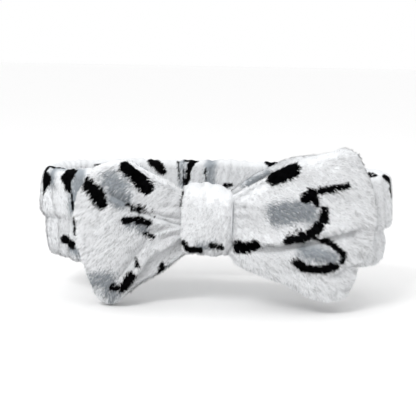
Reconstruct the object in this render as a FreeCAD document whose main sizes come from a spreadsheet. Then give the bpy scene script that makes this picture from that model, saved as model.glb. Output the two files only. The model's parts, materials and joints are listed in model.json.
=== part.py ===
# A plush spa headband with a big flat bow.
#
# A tube of plush cloth is gathered round a ring of flat elastic.  At the front a wrap of the same
# cloth, the knot, pinches the band and the gathered middle of the bow together, and one loop of
# the bow stands out to each side of it.
#
# Frame: +X to the wearer's left, +Y from the bow to the back of the head, +Z up.  The origin is
# the middle of the head opening.  Left and right in the names are as seen from the bow.  Every
# size is in millimetres and lives in the sheet "Sizes".
import FreeCAD, Part

import math
import os
import re

import Sketcher

SIZES = {
    # The ring, seen from above: two shallow arcs joined by two tight ones.
    "band_half_width": 120,  # origin to the outside of each end
    "band_half_depth": 42,  # origin to the outside of the front and of the back
    "end_radius": 30,  # outside radius of each end
    "band_height": 64,
    "band_thickness": 9,
    "band_edge_radius": 4,
    "end_crease_width": 9,  # the fold that runs round each end at half height
    "end_crease_depth": 2,
    # The flat elastic and the channel it runs in.
    "elastic_height": 20,
    "elastic_thickness": 1.4,
    "channel_clearance": 0.4,
    # Where the knot pinches the band: how much cloth is left below and above the channel.
    "cloth_below_channel": 1.6,
    "cloth_above_channel": 14.1,
    "pinch_margin": 1,  # from the knot's side to where the band begins to widen
    "pinch_end": 46,  # where the band is back to its full height
    # The knot.
    "knot_width": 34,
    "knot_wall": 4,
    "knot_corner_radius": 9,
    "knot_edge_round": 1.5,
    "wrap_clearance": 0.5,  # between the knot and what it wraps
    "wrap_corner_radius": 1,  # inside corners of the knot, sharp enough for the pinched band
    # The gathered middle of the bow.
    "waist_half_width": 13.5,
    "waist_thickness": 13,
    "waist_corner_radius": 5,
    "waist_standoff": 1.5,  # from the band's front to the waist
    # The loops of the bow, seen from above: a wall round a teardrop.
    "root_gap": 0.5,  # from the waist to the root of each loop
    "root_radius": 6,
    "loop_end_radius": 15,
    "loop_wall": 8,
    "loop_inner_start": 14,  # from the root's axis to the start of the space inside the loop
    "loop_inner_start_radius": 2.5,
    "loop_band_gap": 1,  # from the band's front to the fat end of each loop
    "neck_length": 2,  # from the root's axis to where the loop flares out beside the knot
    "flare_high": 28,  # top and bottom of the loop where it flares out
    "flare_low": -21,
    # The sewing thread.
    "thread_radius": 0.4,
    "stitch_length": 5,
    "stitch_spacing": 4,
    "tack_bite": 2.5,  # how deep a tack goes into the cloth on each side
    "winding_spacing": 4,
    # The smallest space between two pieces that move apart.
    "moving_gap": 0.3,
}

# Each loop's outline, seen from the front, from the top of its root outwards, down and back in:
# name, distance from the middle of the bow and height, both of them driving sizes of their own.
LOOP_OUTLINES = {
    "left": (("top_near", 36, 36), ("top_far", 55, 44.5), ("corner", 77, 30), ("cheek", 85, 7),
             ("side", 79, -22), ("tip_outer", 70, -43), ("tip_inner", 61, -48),
             ("underside", 30, -32)),
    "right": (("top_near", 35, 38), ("top_far", 60, 47.5), ("corner", 88, 54),
              ("shoulder", 97, 44), ("cheek", 105, 15), ("side", 101, -9), ("tip_outer", 89, -39),
              ("tip_inner", 74, -43), ("underside", 40, -32)),
}
SIDE_SIGN = {"left": -1, "right": 1}

WINDINGS = 3  # turns of thread round the gathered middle
JOIN_STITCHES_EACH_WAY = 3  # stitches of a join on either side of its middle one
TACK_LEVELS = (0.5, 1.25, 2)  # tacks above the elastic's channel, counted in stitch spacings
TACK_REACH = 2  # from the middle to each row of tacks, counted in winding spacings
WELL_PAST = 4  # how many times a size a pad or a cut runs, where it only has to go right through

for side, outline in LOOP_OUTLINES.items():
    for corner, reach, level in outline:
        SIZES[f"{side}_{corner}_reach"] = reach
        SIZES[f"{side}_{corner}_level"] = level

# Lengths that follow from the sizes, as formulas.
END_CENTRE = "(band_half_width - end_radius)"
ARC_RADIUS = (f"(({END_CENTRE}^2 + band_half_depth^2 - end_radius^2)"
              " / (2 * (band_half_depth - end_radius)))")
ARC_CENTRE = f"({ARC_RADIUS} - band_half_depth)"
ARC_HALF_ANGLE = f"asin({END_CENTRE} / ({ARC_RADIUS} - end_radius))"
CHANNEL_HALF_HEIGHT = "(elastic_height / 2 + channel_clearance)"
CHANNEL_THICKNESS = "(elastic_thickness + 2 * channel_clearance)"
PINCH_HALF_WIDTH = "(knot_width / 2 + pinch_margin)"
PINCH_LOW = f"(-{CHANNEL_HALF_HEIGHT} - cloth_below_channel)"
PINCH_HIGH = f"({CHANNEL_HALF_HEIGHT} + cloth_above_channel)"
WAIST_REAR = "(-band_half_depth - waist_standoff)"
WAIST_FRONT = f"({WAIST_REAR} - waist_thickness)"
# The band's inner face falls back a little across the knot's width, because it is an arc.
BAND_FALL = f"(knot_width^2 / (8 * ({ARC_RADIUS} - band_thickness)))"
KNOT_INNER_REAR = f"(-band_half_depth + band_thickness + {BAND_FALL} + wrap_clearance)"
KNOT_INNER_FRONT = f"({WAIST_FRONT} - 2 * thread_radius - wrap_clearance)"
KNOT_INNER_LOW = f"({PINCH_LOW} - wrap_clearance)"
KNOT_INNER_HIGH = f"({PINCH_HIGH} + wrap_clearance)"
HINGE_REACH = "(waist_half_width + root_gap + root_radius)"
HINGE_DEPTH = f"({WAIST_REAR} - waist_thickness / 2)"
LOOP_END_DEPTH = "(-band_half_depth - loop_band_gap - loop_end_radius)"

# The ring's four stretches: the outside radius, the arc's centre, the way it faces, its angle.
STRETCHES = {
    "front": (ARC_RADIUS, "0", ARC_CENTRE, -90, f"2 * {ARC_HALF_ANGLE}"),
    "right": ("end_radius", END_CENTRE, "0", 0, f"180 deg - 2 * {ARC_HALF_ANGLE}"),
    "back": (ARC_RADIUS, "0", f"-{ARC_CENTRE}", 90,
             f"2 * {ARC_HALF_ANGLE} - 2 * asin(moving_gap / {ARC_RADIUS})"),
    "left": ("end_radius", f"-{END_CENTRE}", "0", 180, f"180 deg - 2 * {ARC_HALF_ANGLE}"),
}

doc = FreeCAD.newDocument("spa_headband")


def make_sheet():
    """Write each size into the sheet as a plain number with an alias."""
    sheet = doc.addObject("Spreadsheet::Sheet", "Sizes")
    for row, (name, number) in enumerate(SIZES.items(), start=1):
        sheet.set(f"A{row}", name)
        sheet.set(f"B{row}", str(number))
        sheet.setAlias(f"B{row}", name)
    doc.recompute()


def formula(text):
    """Every word with an underscore is a size, so point it at its cell in the sheet."""
    return re.sub(r"[a-z]+(?:_[a-z]+)+", lambda word: "Sizes." + word.group(), str(text))


def bind(feature, **formulas):
    """Bind properties of a feature to formulas."""
    for name, text in formulas.items():
        feature.setExpression(name, formula(text))


class Drawing:
    """A sketch on one of a body's own origin planes, with every dimension bound to a formula."""

    def __init__(self, body, name, role):
        self.sketch = body.newObject("Sketcher::SketchObject", name)
        origin_plane = next(f for f in body.Origin.OriginFeatures if f.Role == role)
        self.sketch.AttachmentSupport = [(origin_plane, "")]
        self.sketch.MapMode = "FlatFace"

    def number(self, text):
        """What a formula comes to now."""
        return float(self.sketch.evalExpression(formula(text)))

    def constrain(self, *terms):
        return self.sketch.addConstraint(Sketcher.Constraint(*terms))

    def dimension(self, kind, text, *terms):
        """Add a dimension whose value is a formula."""
        index = self.constrain(kind, *terms, self.number(text))
        self.sketch.setExpression(f"Constraints[{index}]", formula(text))

    def place(self, edge, point, across, up):
        """Fix a point of an edge at a place measured from the sketch's origin."""
        if across == "0":
            self.constrain("PointOnObject", edge, point, -2)
        else:
            self.dimension("DistanceX", across, -1, 1, edge, point)
        if up == "0":
            self.constrain("PointOnObject", edge, point, -1)
        else:
            self.dimension("DistanceY", up, -1, 1, edge, point)

    def line(self, start, end):
        return self.sketch.addGeometry(Part.LineSegment(start, end))

    def arc(self, centre, radius, start, end):
        circle = Part.Circle(centre, FreeCAD.Vector(0, 0, 1), radius)
        return self.sketch.addGeometry(Part.ArcOfCircle(circle, start, end))

    def circle(self, across, up, radius):
        """A circle about a place."""
        centre = FreeCAD.Vector(self.number(across), self.number(up), 0)
        round_edge = Part.Circle(centre, FreeCAD.Vector(0, 0, 1), self.number(radius))
        edge = self.sketch.addGeometry(round_edge)
        self.dimension("Radius", radius, edge)
        self.place(edge, 3, across, up)

    def polygon(self, corners):
        """A closed outline of straight lines through corners given as pairs of formulas."""
        points = [FreeCAD.Vector(self.number(x), self.number(y), 0) for x, y in corners]
        edges = [self.line(a, b) for a, b in zip(points, points[1:] + points[:1])]
        for edge, following, (across, up) in zip(edges, edges[1:] + edges[:1], corners):
            self.constrain("Coincident", edge, 2, following, 1)
            self.place(edge, 1, across, up)

    def rectangle(self, left, right, low, high):
        self.polygon([(left, low), (right, low), (right, high), (left, high)])

    def rounded_rectangle(self, left, right, low, high, radius):
        """A rectangle whose four corners are equal tangent arcs."""
        x0, x1, y0, y1 = (self.number(text) for text in (left, right, low, high))
        r = self.number(radius)
        corners = [(x1 - r, y0 + r), (x1 - r, y1 - r), (x0 + r, y1 - r), (x0 + r, y0 + r)]
        arcs = []
        for quarter, (x, y) in enumerate(corners):
            start = math.radians(90 * quarter - 90)
            arcs.append(self.arc(FreeCAD.Vector(x, y, 0), r, start, start + math.pi / 2))
        lines = []
        for before, after in zip(arcs[-1:] + arcs[:-1], arcs):
            lines.append(self.line(self.sketch.getPoint(before, 2), self.sketch.getPoint(after, 1)))
        for edge, after, following in zip(lines, arcs, lines[1:] + lines[:1]):
            self.constrain("Tangent", edge, 2, after, 1)
            self.constrain("Tangent", after, 2, following, 1)
        for edge, direction in zip(lines, ("Horizontal", "Vertical") * 2):
            self.constrain(direction, edge)
        for other in arcs[1:]:
            self.constrain("Equal", arcs[0], other)
        self.dimension("Radius", radius, arcs[0])
        self.dimension("DistanceY", low, -1, 1, lines[0], 1)
        self.dimension("DistanceX", right, -1, 1, lines[1], 1)
        self.dimension("DistanceY", high, -1, 1, lines[2], 1)
        self.dimension("DistanceX", left, -1, 1, lines[3], 1)

    def teardrop(self, first, first_radius, second, second_radius):
        """The outline round two circles: two arcs joined by the two lines that touch both."""
        a = FreeCAD.Vector(*(self.number(text) for text in first), 0)
        b = FreeCAD.Vector(*(self.number(text) for text in second), 0)
        ra = self.number(first_radius)
        rb = self.number(second_radius)
        along = math.atan2(b.y - a.y, b.x - a.x)
        spread = math.acos((ra - rb) / (b - a).Length)
        near = self.arc(a, ra, along + spread, along - spread + 2 * math.pi)
        far = self.arc(b, rb, along - spread, along + spread)
        under = self.line(self.sketch.getPoint(near, 2), self.sketch.getPoint(far, 1))
        over = self.line(self.sketch.getPoint(far, 2), self.sketch.getPoint(near, 1))
        ring = [near, under, far, over]
        for edge, following in zip(ring, ring[1:] + ring[:1]):
            self.constrain("Tangent", edge, 2, following, 1)
        self.dimension("Radius", first_radius, near)
        self.dimension("Radius", second_radius, far)
        self.place(near, 3, *first)
        self.place(far, 3, *second)


def make_body(label):
    body = doc.addObject("PartDesign::Body", label)
    body.Label = label
    return body


def pad(drawing, length):
    """Push a drawing out to both sides of its plane."""
    feature = drawing.sketch.getParentGeoFeatureGroup().newObject("PartDesign::Pad", "pad")
    feature.Profile = drawing.sketch
    feature.Midplane = True
    bind(feature, Length=length)
    return feature


def cut(body, kind, drawing, **formulas):
    """Take a drawing's swept shape away from a body, and make sure that it did."""
    doc.recompute()
    before = body.Shape.Volume
    feature = body.newObject(kind, "cut")
    feature.Profile = drawing.sketch
    if kind == "PartDesign::Groove":
        feature.ReferenceAxis = (drawing.sketch, ["V_Axis"])
    feature.Midplane = True
    bind(feature, **formulas)
    doc.recompute()
    if body.Shape.Volume >= before:
        raise RuntimeError(f"{body.Label}: {drawing.sketch.Label} cuts nothing")


def make_stretch(label, stretch, draw_section):
    """One stretch of the ring: a cross-section carried round the arc's upright axis."""
    radius, across, along, facing, angle = STRETCHES[stretch]
    body = make_body(label)
    drawing = Drawing(body, "section", "XZ_Plane")
    draw_section(drawing, radius)
    feature = body.newObject("PartDesign::Revolution", "sweep")
    feature.Profile = drawing.sketch
    feature.ReferenceAxis = (drawing.sketch, ["V_Axis"])
    feature.Midplane = True
    bind(feature, Angle=angle)
    body.Placement.Rotation = FreeCAD.Rotation(FreeCAD.Vector(0, 0, 1), facing)
    body.setExpression(".Placement.Base.x", formula(across))
    body.setExpression(".Placement.Base.y", formula(along))
    return body


def cover_section(drawing, radius):
    """Rounded cloth with the channel for the elastic through its middle."""
    drawing.rounded_rectangle(f"{radius} - band_thickness", radius,
                              "-band_height / 2", "band_height / 2", "band_edge_radius")
    middle = f"{radius} - band_thickness / 2"
    drawing.rectangle(f"{middle} - {CHANNEL_THICKNESS} / 2", f"{middle} + {CHANNEL_THICKNESS} / 2",
                      f"-{CHANNEL_HALF_HEIGHT}", CHANNEL_HALF_HEIGHT)


def elastic_section(drawing, radius):
    middle = f"{radius} - band_thickness / 2"
    drawing.rectangle(f"{middle} - elastic_thickness / 2", f"{middle} + elastic_thickness / 2",
                      "-elastic_height / 2", "elastic_height / 2")


def seam_section(drawing, radius):
    """The seam's thread, half sunk in the side that faces the head."""
    drawing.circle(f"{radius} - band_thickness + thread_radius / 2", "0", "thread_radius")


def make_end_crease(body, radius):
    """The fold that runs round the outside of an end at half height."""
    crease = Drawing(body, "crease", "XZ_Plane")
    mouth = f"{radius} + end_crease_depth"
    crease.polygon([(f"{radius} - end_crease_depth", "0"), (mouth, "-end_crease_width"),
                    (mouth, "end_crease_width")])
    cut(body, "PartDesign::Groove", crease, Angle="360 deg")


def pinch_front_cover(body):
    """Narrow the front of the band to what the knot holds, with a ramp to each side."""
    for name, level, sign in (("pinch_above", PINCH_HIGH, "+"), ("pinch_below", PINCH_LOW, "-")):
        # The ramp meets the edge at pinch_end, and the cut goes on past the edge by its thickness.
        edge = f"{sign}band_height / 2"
        beyond = f"{sign}(band_height / 2 + band_thickness)"
        notch = Drawing(body, name, "YZ_Plane")
        notch.polygon([(f"-{PINCH_HALF_WIDTH}", level), (PINCH_HALF_WIDTH, level),
                       ("pinch_end", edge), ("pinch_end", beyond),
                       ("-pinch_end", beyond), ("-pinch_end", edge)])
        cut(body, "PartDesign::Pocket", notch, Length=f"{WELL_PAST} * {ARC_RADIUS}")


def make_band():
    for stretch, (radius, *_) in STRETCHES.items():
        cover = make_stretch(f"band_cover_{stretch}", stretch, cover_section)
        if stretch == "front":
            pinch_front_cover(cover)
        if stretch in SIDE_SIGN:
            make_end_crease(cover, radius)
        make_stretch(f"band_elastic_{stretch}", stretch, elastic_section)
        make_stretch(f"cover_seam_{stretch}", stretch, seam_section)


def make_knot():
    """A short sleeve of cloth round the band and the waist, with its edges rounded over."""
    body = make_body("knot_wrap")
    section = Drawing(body, "section", "YZ_Plane")
    section.rounded_rectangle(f"{KNOT_INNER_FRONT} - knot_wall", f"{KNOT_INNER_REAR} + knot_wall",
                              f"{KNOT_INNER_LOW} - knot_wall", f"{KNOT_INNER_HIGH} + knot_wall",
                              "knot_corner_radius")
    section.rounded_rectangle(KNOT_INNER_FRONT, KNOT_INNER_REAR, KNOT_INNER_LOW, KNOT_INNER_HIGH,
                              "wrap_corner_radius")
    sleeve = pad(section, "knot_width")
    doc.recompute()
    half_width = section.number("knot_width / 2")
    rims = [edge for face in sleeve.Shape.Faces if abs(abs(face.CenterOfMass.x) - half_width) < 1e-6
            for edge in face.OuterWire.Edges]
    outer_edges = [f"Edge{i}" for i, edge in enumerate(sleeve.Shape.Edges, start=1)
                   if any(edge.isSame(rim) for rim in rims)]
    rounding = body.newObject("PartDesign::Fillet", "edge_round")
    rounding.Base = (sleeve, outer_edges)
    bind(rounding, Radius="min(knot_edge_round; knot_wall / 3)")


def waist_outline(drawing, grow):
    """The waist's section, grown outwards by a formula."""
    drawing.rounded_rectangle(f"{WAIST_FRONT} - {grow}", f"{WAIST_REAR} + {grow}",
                              f"{PINCH_LOW} + 2 * thread_radius - {grow}",
                              f"{PINCH_HIGH} - 2 * thread_radius + {grow}",
                              f"waist_corner_radius + {grow}")


def make_waist():
    """The gathered middle of the bow, and the thread wound round it."""
    waist = Drawing(make_body("bow_waist"), "section", "YZ_Plane")
    waist_outline(waist, "0")
    pad(waist, "2 * waist_half_width")

    body = make_body("bow_gather_thread")
    winding = Drawing(body, "winding", "YZ_Plane")
    waist_outline(winding, "2 * thread_radius")
    waist_outline(winding, "0")
    first = pad(winding, "2 * thread_radius")
    rows = body.newObject("PartDesign::LinearPattern", "windings")
    rows.Originals = [first]
    rows.Direction = (winding.sketch, ["N_Axis"])
    rows.Occurrences = WINDINGS
    bind(rows, Length=f"({WINDINGS} - 1) * winding_spacing")
    body.Tip = rows
    body.setExpression(".Placement.Base.x", formula(f"-({WINDINGS} - 1) * winding_spacing / 2"))


def make_stitches(label, role, places, length):
    """Short straight lengths of thread, side by side, standing square to a plane."""
    row = Drawing(make_body(label), "row", role)
    for across, up in places:
        row.circle(across, up, "thread_radius")
    return pad(row, length)


def make_sewing():
    knot_rear = f"({KNOT_INNER_REAR} + knot_wall)"
    elastic_face = "(band_half_depth - band_thickness / 2 - elastic_thickness / 2)"
    levels = range(-JOIN_STITCHES_EACH_WAY, JOIN_STITCHES_EACH_WAY + 1)
    elastic_step = f"elastic_height / (2 * ({JOIN_STITCHES_EACH_WAY} + 1))"

    # The knot's two ends meet at the back of the knot and are oversewn there.
    make_stitches("knot_seam_stitches", "XY_Plane",
                  [(f"{i} * stitch_spacing" if i else "0", knot_rear) for i in levels],
                  "stitch_length")

    # The band's cloth and its elastic are each joined end to end at the back.
    make_stitches("cover_join_stitches", "YZ_Plane",
                  [("band_half_depth", f"{i} * stitch_spacing" if i else "0") for i in levels],
                  "stitch_length")
    make_stitches("elastic_join_stitches", "YZ_Plane",
                  [(elastic_face, f"{i} * {elastic_step}" if i else "0") for i in levels],
                  "stitch_length")

    # Two rows of tacks hold the waist to the band, above the elastic's channel.
    tacks = make_stitches("bow_tack_stitches", "XZ_Plane",
                          [(f"{x} * winding_spacing", f"{CHANNEL_HALF_HEIGHT} + {z} * stitch_spacing")
                           for x in (-TACK_REACH, TACK_REACH) for z in TACK_LEVELS],
                          "waist_standoff + 2 * tack_bite")
    body = tacks.getParentGeoFeatureGroup()
    body.setExpression(".Placement.Base.y", formula("-band_half_depth - waist_standoff / 2"))


def make_loop(side):
    """One loop: a teardrop wall seen from above, trimmed to the bow's outline from the front."""
    sign = SIDE_SIGN[side]
    body = make_body(f"bow_loop_{side}")
    root = (f"{sign} * {HINGE_REACH}", HINGE_DEPTH)
    end = (f"{sign} * ({side}_cheek_reach - loop_end_radius)", LOOP_END_DEPTH)
    inner_root = (f"{sign} * ({HINGE_REACH} + loop_inner_start)",
                  f"{HINGE_DEPTH} + ({LOOP_END_DEPTH} - {HINGE_DEPTH}) * loop_inner_start"
                  f" / ({side}_cheek_reach - loop_end_radius - {HINGE_REACH})")
    plan = Drawing(body, "plan", "XY_Plane")
    plan.teardrop(root, "root_radius", end, "loop_end_radius")
    plan.teardrop(inner_root, "loop_inner_start_radius", end, "loop_end_radius - loop_wall")
    pad(plan, f"{WELL_PAST} * band_height")

    neck = f"({HINGE_REACH} + neck_length)"
    inside = "(waist_half_width / 2)"
    outline = [(inside, PINCH_HIGH), (neck, PINCH_HIGH), (neck, "flare_high")]
    outline += [(f"{side}_{corner}_reach", f"{side}_{corner}_level")
                for corner, _, _ in LOOP_OUTLINES[side]]
    outline += [(neck, "flare_low"), (neck, PINCH_LOW), (inside, PINCH_LOW)]
    frame = Drawing(body, "outline", "XZ_Plane")
    beyond = f"{WELL_PAST} * band_half_width"
    frame.rectangle(f"-{beyond}", beyond, f"-{beyond}", beyond)
    frame.polygon([(f"{sign} * {across}", up) for across, up in outline])
    cut(body, "PartDesign::Pocket", frame, Length=f"2 * {beyond}")


def check_and_write():
    """Stop on any object that failed, then write each sub-part to its own file."""
    doc.recompute()
    broken = [o.Name for o in doc.Objects if {"Invalid", "Error"} & set(o.State)]
    if broken:
        raise RuntimeError(f"these objects failed: {broken}")
    bodies = [o for o in doc.Objects if o.TypeId == "PartDesign::Body"]
    for body in bodies:
        if body.Shape.isNull() or not body.Shape.isValid() or not body.Shape.Solids:
            raise RuntimeError(f"{body.Label} is not a sound solid")
    os.makedirs("parts", exist_ok=True)
    for body in bodies:
        body.Shape.exportStep(f"parts/{body.Label}.step")
        print(f"{body.Label}: {len(body.Shape.Solids)} solid(s), {body.Shape.Volume / 1000:.2f} ml")


make_sheet()
make_band()
make_knot()
make_waist()
make_sewing()
for loop_side in SIDE_SIGN:
    make_loop(loop_side)
check_and_write()
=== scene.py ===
import json
import math

import bpy
import numpy as np
from mathutils import Matrix, Vector


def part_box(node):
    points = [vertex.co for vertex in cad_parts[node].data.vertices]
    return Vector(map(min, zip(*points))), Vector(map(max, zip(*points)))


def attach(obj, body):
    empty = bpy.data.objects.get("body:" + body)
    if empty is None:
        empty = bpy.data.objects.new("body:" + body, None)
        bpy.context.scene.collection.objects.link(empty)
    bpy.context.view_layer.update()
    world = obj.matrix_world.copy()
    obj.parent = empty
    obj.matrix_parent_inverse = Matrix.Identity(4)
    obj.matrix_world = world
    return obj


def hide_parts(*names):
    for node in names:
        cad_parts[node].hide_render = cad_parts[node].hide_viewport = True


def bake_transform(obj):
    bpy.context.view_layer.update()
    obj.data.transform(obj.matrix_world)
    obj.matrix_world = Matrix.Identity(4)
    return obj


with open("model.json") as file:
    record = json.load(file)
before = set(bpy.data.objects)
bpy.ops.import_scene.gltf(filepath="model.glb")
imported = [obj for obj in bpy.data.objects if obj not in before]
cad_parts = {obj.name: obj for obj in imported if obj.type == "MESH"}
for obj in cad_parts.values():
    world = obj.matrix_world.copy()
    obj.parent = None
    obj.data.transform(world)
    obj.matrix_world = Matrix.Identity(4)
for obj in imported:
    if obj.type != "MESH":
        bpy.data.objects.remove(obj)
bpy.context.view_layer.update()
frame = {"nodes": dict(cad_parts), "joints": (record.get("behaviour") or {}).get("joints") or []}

MM_PER_METRE = 1000.0
TAU = 2 * math.pi


def node_box(node):
    """A CAD node's lowest and highest corner in millimetres."""
    low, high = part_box(node)
    return np.array(low) * MM_PER_METRE, np.array(high) * MM_PER_METRE


COVER_LEFT = node_box("band_cover_left")
COVER_BACK = node_box("band_cover_back")
KNOT_BOX = node_box("knot_wrap")
WAIST_BOX = node_box("bow_waist")
ELASTIC_BOX = node_box("band_elastic_back")
HINGE = {joint["child"]: np.array(joint["pos_m"]) * MM_PER_METRE
         for joint in frame["joints"] if joint["type"] == "hinge"}

RING_HALF_WIDTH = -COVER_LEFT[0][0]
RING_HALF_DEPTH = COVER_BACK[1][1]
RING_END_RADIUS = 30.0
BAND_HALF_HEIGHT = COVER_BACK[1][2]
BAND_THICKNESS = 9.0
BAND_HALF_THICKNESS = 5.2  # a little over half of it, because the gathers draw the cloth in
ELASTIC_HALF_THICKNESS = 0.7
QUICK_SHARE = 1.0  # of the pile that is grown


# --- Numbers -------------------------------------------------------------------------------

def ease(value, start, end):
    """0 before start, 1 after end, and a smooth step between them."""
    t = np.clip((value - start) / (end - start), 0, 1)
    return t * t * (3 - 2 * t)


NOISE_PERIOD = 256  # places along either side of the table before the noise repeats


def noise(a, b, seed):
    """Smooth noise from -1 to 1: random values at whole-number places, eased between them."""
    table = np.random.RandomState(seed).uniform(-1, 1, (NOISE_PERIOD, NOISE_PERIOD))
    a, b = np.broadcast_arrays(a, b)
    row = np.floor(a).astype(int)
    column = np.floor(b).astype(int)
    along = ease(a - row, 0, 1)
    across = ease(b - column, 0, 1)
    corner = [[table[(row + i) % NOISE_PERIOD, (column + j) % NOISE_PERIOD] for j in (0, 1)]
              for i in (0, 1)]
    near = corner[0][0] * (1 - across) + corner[0][1] * across
    far = corner[1][0] * (1 - across) + corner[1][1] * across
    return near * (1 - along) + far * along


def unit(vectors):
    """Vectors divided by their lengths."""
    return vectors / np.maximum(np.linalg.norm(vectors, axis=-1, keepdims=True), 1e-9)


def smooth_line(points, share):
    """A smooth curve through points, at shares of its length from 0 to 1.

    Between two points it is a cubic that leaves and meets them at their slopes, and a point's
    slope is that of the line between its neighbours.
    """
    points = np.asarray(points, float)
    lengths = np.concatenate([[0], np.cumsum(np.linalg.norm(np.diff(points, axis=0), axis=1))])
    knots = lengths / lengths[-1]
    slopes = np.gradient(points, knots, axis=0)
    share = np.asarray(share, float)
    piece = np.clip(np.searchsorted(knots, share, side="right") - 1, 0, len(knots) - 2)
    width = knots[piece + 1] - knots[piece]
    t = ((share - knots[piece]) / width)[..., None]
    width = width[..., None]
    return ((2 * t**3 - 3 * t**2 + 1) * points[piece]
            + (t**3 - 2 * t**2 + t) * width * slopes[piece]
            + (3 * t**2 - 2 * t**3) * points[piece + 1]
            + (t**3 - t**2) * width * slopes[piece + 1])


def distance_to_line(a, b, line):
    """Distance from each place (a, b) to a line of straight pieces, and the share along it."""
    best = np.full(np.shape(a), np.inf)
    share = np.zeros(np.shape(a))
    line = np.asarray(line, float)
    lengths = np.linalg.norm(np.diff(line, axis=0), axis=1)
    total = lengths.sum()
    for start, end, length, before in zip(line, line[1:], lengths, np.cumsum(lengths) - lengths):
        step = end - start
        along = (a - start[0]) * step[0] + (b - start[1]) * step[1]
        t = np.clip(along / length**2, 0, 1)
        gap = np.hypot(a - start[0] - t * step[0], b - start[1] - t * step[1])
        share = np.where(gap < best, (before + t * length) / total, share)
        best = np.minimum(best, gap)
    return best, share


def side_of_line(a, b, line, blur):
    """1 to the left of a line of straight pieces, 0 to its right, eased over a blur."""
    best = np.full(np.shape(a), np.inf)
    offset = np.zeros(np.shape(a))
    for start, end in zip(np.asarray(line, float), np.asarray(line, float)[1:]):
        step = end - start
        length = np.hypot(*step)
        t = np.clip(((a - start[0]) * step[0] + (b - start[1]) * step[1]) / length**2, 0, 1)
        gap = np.hypot(a - start[0] - t * step[0], b - start[1] - t * step[1])
        left = ((b - start[1]) * step[0] - (a - start[0]) * step[1]) / length
        offset = np.where(gap < best, left, offset)
        best = np.minimum(best, gap)
    return ease(offset, -blur, blur)


# --- Surfaces ------------------------------------------------------------------------------

def steps(grid, axis, wrap):
    """Central differences along one axis of a grid, round the join if the grid wraps there."""
    if wrap:
        return (np.roll(grid, -1, axis) - np.roll(grid, 1, axis)) / 2
    return np.gradient(grid, axis=axis)


class Surface:
    """A grid of points that closes round its columns, as a tube does, and perhaps its rows."""

    def __init__(self, points, wrap_rows):
        self.points = points
        self.wrap_rows = wrap_rows
        self.refresh()

    def refresh(self):
        """Directions along the rows and columns, and their cross product as the normals."""
        self.along = unit(steps(self.points, 0, self.wrap_rows))
        self.around = unit(steps(self.points, 1, True))
        self.normals = unit(np.cross(self.along, self.around))

    def push(self, amount):
        """Move every point along its normal by an amount in millimetres."""
        self.points = self.points + self.normals * amount[..., None]
        self.refresh()

    def soften(self, rounds):
        """Even out the grid: each point moves halfway to the middle of its four neighbours."""
        for _ in range(rounds):
            grid = self.points
            middle = (np.roll(grid, 1, 1) + np.roll(grid, -1, 1)) / 2
            if self.wrap_rows:
                lengthwise = (np.roll(grid, 1, 0) + np.roll(grid, -1, 0)) / 2
            else:
                lengthwise = grid.copy()
                lengthwise[1:-1] = (grid[:-2] + grid[2:]) / 2
            self.points = grid * 0.5 + (middle + lengthwise) * 0.25
        self.refresh()

    def faces(self):
        """Four-cornered faces between neighbouring rows and columns."""
        rows, columns = self.points.shape[:2]
        row = np.arange(rows if self.wrap_rows else rows - 1)[:, None]
        column = np.arange(columns)[None, :]
        next_row = (row + 1) % rows
        next_column = (column + 1) % columns
        corners = [row * columns + column, next_row * columns + column,
                   next_row * columns + next_column, row * columns + next_column]
        return np.stack(corners, -1).reshape(-1, 4)


def add_mesh(name, points, faces):
    """A mesh object from points in millimetres and arrays of equal-sided faces."""
    mesh = bpy.data.meshes.new(name)
    mesh.vertices.add(len(points))
    mesh.vertices.foreach_set("co", (points / MM_PER_METRE).astype(np.float32).ravel())
    sides = np.concatenate([np.full(len(group), group.shape[1]) for group in faces])
    corners = np.concatenate([group.ravel() for group in faces])
    mesh.loops.add(len(corners))
    mesh.loops.foreach_set("vertex_index", corners.astype(np.int32))
    mesh.polygons.add(len(sides))
    mesh.polygons.foreach_set("loop_start", (np.cumsum(sides) - sides).astype(np.int32))
    mesh.polygons.foreach_set("use_smooth", np.ones(len(sides), bool))
    mesh.update(calc_edges=True)
    piece = bpy.data.objects.new(name, mesh)
    bpy.context.scene.collection.objects.link(piece)
    return piece


def cap_faces(surface):
    """A fan over each open end, round a point added at the middle of its ring."""
    rows, columns = surface.points.shape[:2]
    here = np.arange(columns)
    following = (here + 1) % columns
    first = np.stack([here, following, np.full(columns, rows * columns)], -1)
    last_row = (rows - 1) * columns
    last = np.stack([last_row + following, last_row + here,
                     np.full(columns, rows * columns + 1)], -1)
    middles = np.stack([surface.points[0].mean(0), surface.points[-1].mean(0)])
    return middles, np.concatenate([first, last])


def add_cloth(name, surface, material, tint=None):
    """The mesh of a surface, with its printed colour kept on its points."""
    points = surface.points.reshape(-1, 3)
    faces = [surface.faces()]
    if not surface.wrap_rows:
        middles, fans = cap_faces(surface)
        points = np.concatenate([points, middles])
        faces.append(fans)
    piece = add_mesh(name, points, faces)
    if tint is not None:
        colours = np.ones((len(points), 4), np.float32)
        colours[:, :3] = 0.8  # for the middles of open ends, which lie inside the knot
        colours[:tint.shape[0] * tint.shape[1], :3] = tint.reshape(-1, 3)
        layer = piece.data.color_attributes.new("print", "FLOAT_COLOR", "POINT")
        layer.data.foreach_set("color", colours.ravel())
    piece.data.materials.append(material)
    return piece


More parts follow.
